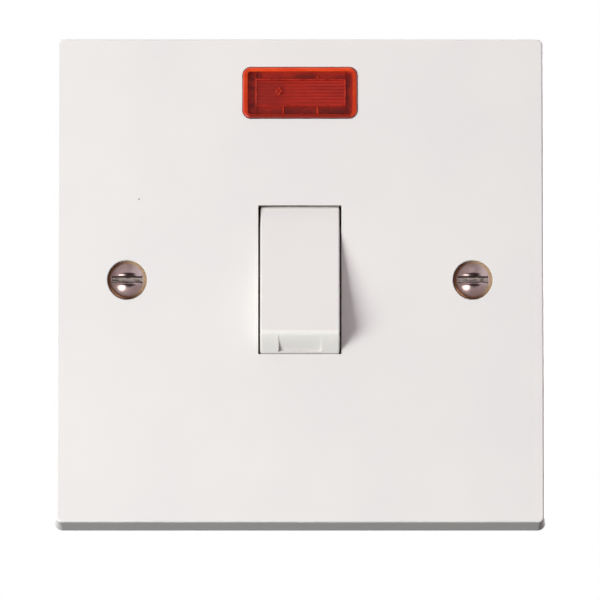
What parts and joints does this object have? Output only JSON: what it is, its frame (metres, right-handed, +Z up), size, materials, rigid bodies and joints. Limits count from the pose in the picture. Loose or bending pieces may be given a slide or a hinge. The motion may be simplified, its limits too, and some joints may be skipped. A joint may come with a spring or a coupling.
{
  "type": "double pole switch",
  "caption": "White square wall plate with a tall rocker between its fixing screws, a red window above, and a boxed contact mechanism with screw terminals behind.",
  "frame": {"origin": "midway between the fixing screws, in the plane of the plate's rim, which is the wall's face", "axes": "+Y goes back into the wall, +Z is up and +X is to the right of a person who faces the switch"},
  "size_m": [0.086, 0.0289, 0.086],
  "materials": {
    "plate": "smooth moulded urea, soft gloss",
    "rocker": "smooth moulded, soft gloss",
    "base": "moulded, satin",
    "terminal": "drawn brass, satin",
    "arm": "stamped copper alloy",
    "contact_tip": "silver, satin",
    "plated_screw": "zinc plated",
    "fixing_screw": "nickel plated, polished",
    "lens": "translucent red, glossy",
    "holder": "natural nylon",
    "lamp_glass": "clear",
    "wire": "nickel wire",
    "resistor": "lacquered ceramic",
    "lead": "sleeving, satin",
    "plunger": "natural nylon",
    "spring": "spring wire"
  },
  "bodies": {
    "plate": {"front_plate": "plate", "mechanism_base": "base", "earth_terminal": "terminal", "terminal_screws": "plated_screw", "base_screws": "plated_screw", "fixing_screws": "fixing_screw", "neon_lens": "lens", "neon_holder": "holder", "neon_lamp_glass": "lamp_glass", "neon_electrodes": "wire", "neon_resistor": "resistor", "load_terminal_line": "terminal", "supply_terminal_line": "terminal", "fixed_tip_line": "contact_tip", "neon_lead_line": "lead", "load_terminal_neutral": "terminal", "supply_terminal_neutral": "terminal", "fixed_tip_neutral": "contact_tip", "neon_lead_neutral": "lead"},
    "rocker": {"rocker": "rocker", "plunger_spring_line": "spring", "plunger_spring_neutral": "spring"},
    "plunger_line": {"plunger_line": "plunger"},
    "plunger_neutral": {"plunger_neutral": "plunger"},
    "arm_line": {"moving_contact_line": "arm", "moving_tip_line": "contact_tip"},
    "arm_neutral": {"moving_contact_neutral": "arm", "moving_tip_neutral": "contact_tip"}
  },
  "joints": [
    {"name": "rocker_tilt", "type": "hinge", "parent": "plate", "child": "rocker", "pos_m": [0, -0.00244, 0], "axis": [1, 0, 0], "range_deg": [0, 20]},
    {"name": "arm_line_tilt", "type": "hinge", "parent": "plate", "child": "arm_line", "pos_m": [0.0042, 0.00619, 0], "axis": [1, 0, 0], "range_deg": [-23, 0]},
    {"name": "arm_neutral_tilt", "type": "hinge", "parent": "plate", "child": "arm_neutral", "pos_m": [-0.0042, 0.00619, 0], "axis": [1, 0, 0], "range_deg": [-23, 0]},
    {"name": "plunger_line_slide", "type": "slide", "parent": "rocker", "child": "plunger_line", "axis": [0, -0.9848, 0.1736], "range_m": [0, 0.0008], "stiffness_N_per_m": 800, "springref_m": -0.002, "deforming": ["plunger_spring_line"]},
    {"name": "plunger_neutral_slide", "type": "slide", "parent": "rocker", "child": "plunger_neutral", "axis": [0, -0.9848, 0.1736], "range_m": [0, 0.0008], "stiffness_N_per_m": 800, "springref_m": -0.002, "deforming": ["plunger_spring_neutral"]}
  ],
  "couplings": [
    {"joint": "arm_line_tilt", "follows": "rocker_tilt", "ratio": -1.15},
    {"joint": "arm_neutral_tilt", "follows": "rocker_tilt", "ratio": -1.15}
  ]
}
